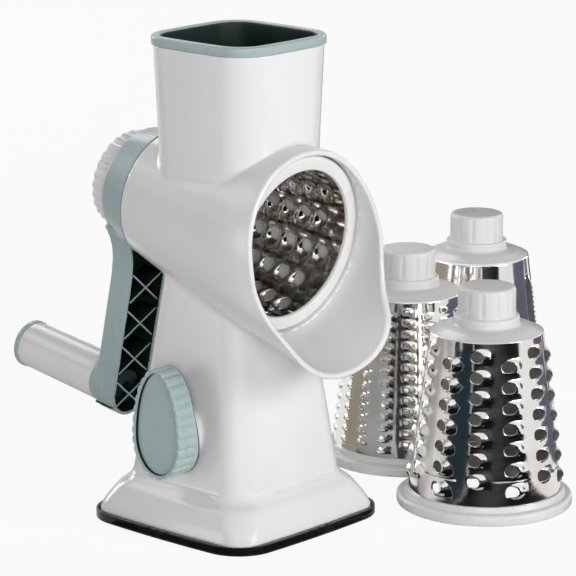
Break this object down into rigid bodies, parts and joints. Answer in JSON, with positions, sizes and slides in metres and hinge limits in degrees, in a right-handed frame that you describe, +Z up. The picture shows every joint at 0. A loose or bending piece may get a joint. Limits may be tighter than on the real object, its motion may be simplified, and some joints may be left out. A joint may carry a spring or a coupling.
{
  "type": "rotary vegetable shredder",
  "caption": "Hand-cranked rotary shredder: square hopper with pusher, perforated drum in a tilted round mouth with a scoop, ribbed crank arm, suction knob and foot, spare drums.",
  "frame": {"origin": "centre of the rubber foot's flat underside", "axes": "+Z up, -Y towards the mouth, +Y towards the crank, -X towards the suction knob"},
  "size_m": [0.3909, 0.3159, 0.29],
  "materials": {
    "white_plastic": "glossy moulded",
    "sage_plastic": "satin moulded",
    "grey_plastic": "plain moulded, inside the foot",
    "milky_plastic": "slightly translucent",
    "polished_steel": "mirror-polished stainless sheet",
    "steel_fixings": "plain zinc",
    "black_rubber": "glossy black"
  },
  "bodies": {
    "housing": {"housing": "white_plastic", "base_frame": "grey_plastic", "base_screws": "steel_fixings", "suction_pad": "black_rubber"},
    "pusher": {"food_pusher": "sage_plastic"},
    "crank": {"crank_arm": "sage_plastic", "grip_spindle": "steel_fixings"},
    "grip": {"grip_sleeve": "white_plastic", "grip_end_cap": "sage_plastic"},
    "nut": {"lock_nut": "white_plastic"},
    "drum": {"drum_shell": "polished_steel", "drum_rim": "milky_plastic", "drum_hub": "milky_plastic"},
    "knob": {"suction_knob": "sage_plastic", "knob_cover": "sage_plastic", "knob_screw": "steel_fixings", "cam_shaft": "grey_plastic", "shaft_clip": "steel_fixings"},
    "lift": {"lift_yoke": "grey_plastic", "yoke_screw": "steel_fixings", "pad_insert": "grey_plastic"},
    "spare_coarse": {"spare_coarse_shell": "polished_steel", "spare_coarse_rim": "milky_plastic", "spare_coarse_hub": "milky_plastic"},
    "spare_fine": {"spare_fine_shell": "polished_steel", "spare_fine_rim": "milky_plastic", "spare_fine_hub": "milky_plastic"},
    "spare_slicer": {"spare_slicer_shell": "polished_steel", "spare_slicer_rim": "milky_plastic", "spare_slicer_hub": "milky_plastic"}
  },
  "joints": [
    {"name": "crank_turn", "type": "hinge", "parent": "housing", "child": "crank", "pos_m": [0, 0, 0.1794], "axis": [0, -0.9888, -0.1495], "continuous": true},
    {"name": "drum_draw", "type": "slide", "parent": "crank", "child": "drum", "axis": [0, -0.9888, -0.1495], "range_m": [0, 0.2]},
    {"name": "lock_nut_turn", "type": "hinge", "parent": "crank", "child": "nut", "pos_m": [0, 0, 0.1794], "axis": [0, 0.9888, 0.1495], "range_deg": [0, 720]},
    {"name": "grip_spin", "type": "hinge", "parent": "crank", "child": "grip", "pos_m": [-0.00919, 0.0992, 0.06782], "axis": [0, -0.9888, -0.1495], "continuous": true},
    {"name": "pusher_lift", "type": "slide", "parent": "housing", "child": "pusher", "axis": [0, 0, 1], "range_m": [0, 0.1]},
    {"name": "suction_knob_turn", "type": "hinge", "parent": "housing", "child": "knob", "pos_m": [0, 0, 0.06], "axis": [1, 0, 0], "range_deg": [0, 90]},
    {"name": "pad_lift", "type": "slide", "parent": "housing", "child": "lift", "axis": [0, 0, 1], "range_m": [0, 0.006]},
    {"name": "spare_coarse_lift", "type": "slide", "parent": "housing", "child": "spare_coarse", "axis": [0, 0, 1], "range_m": [0, 0.15]},
    {"name": "spare_fine_lift", "type": "slide", "parent": "housing", "child": "spare_fine", "axis": [0, 0, 1], "range_m": [0, 0.15]},
    {"name": "spare_slicer_lift", "type": "slide", "parent": "housing", "child": "spare_slicer", "axis": [0, 0, 1], "range_m": [0, 0.15]}
  ],
  "couplings": [
    {"joint": "pad_lift", "follows": "suction_knob_turn", "m_per_rad": 0.0038197}
  ]
}
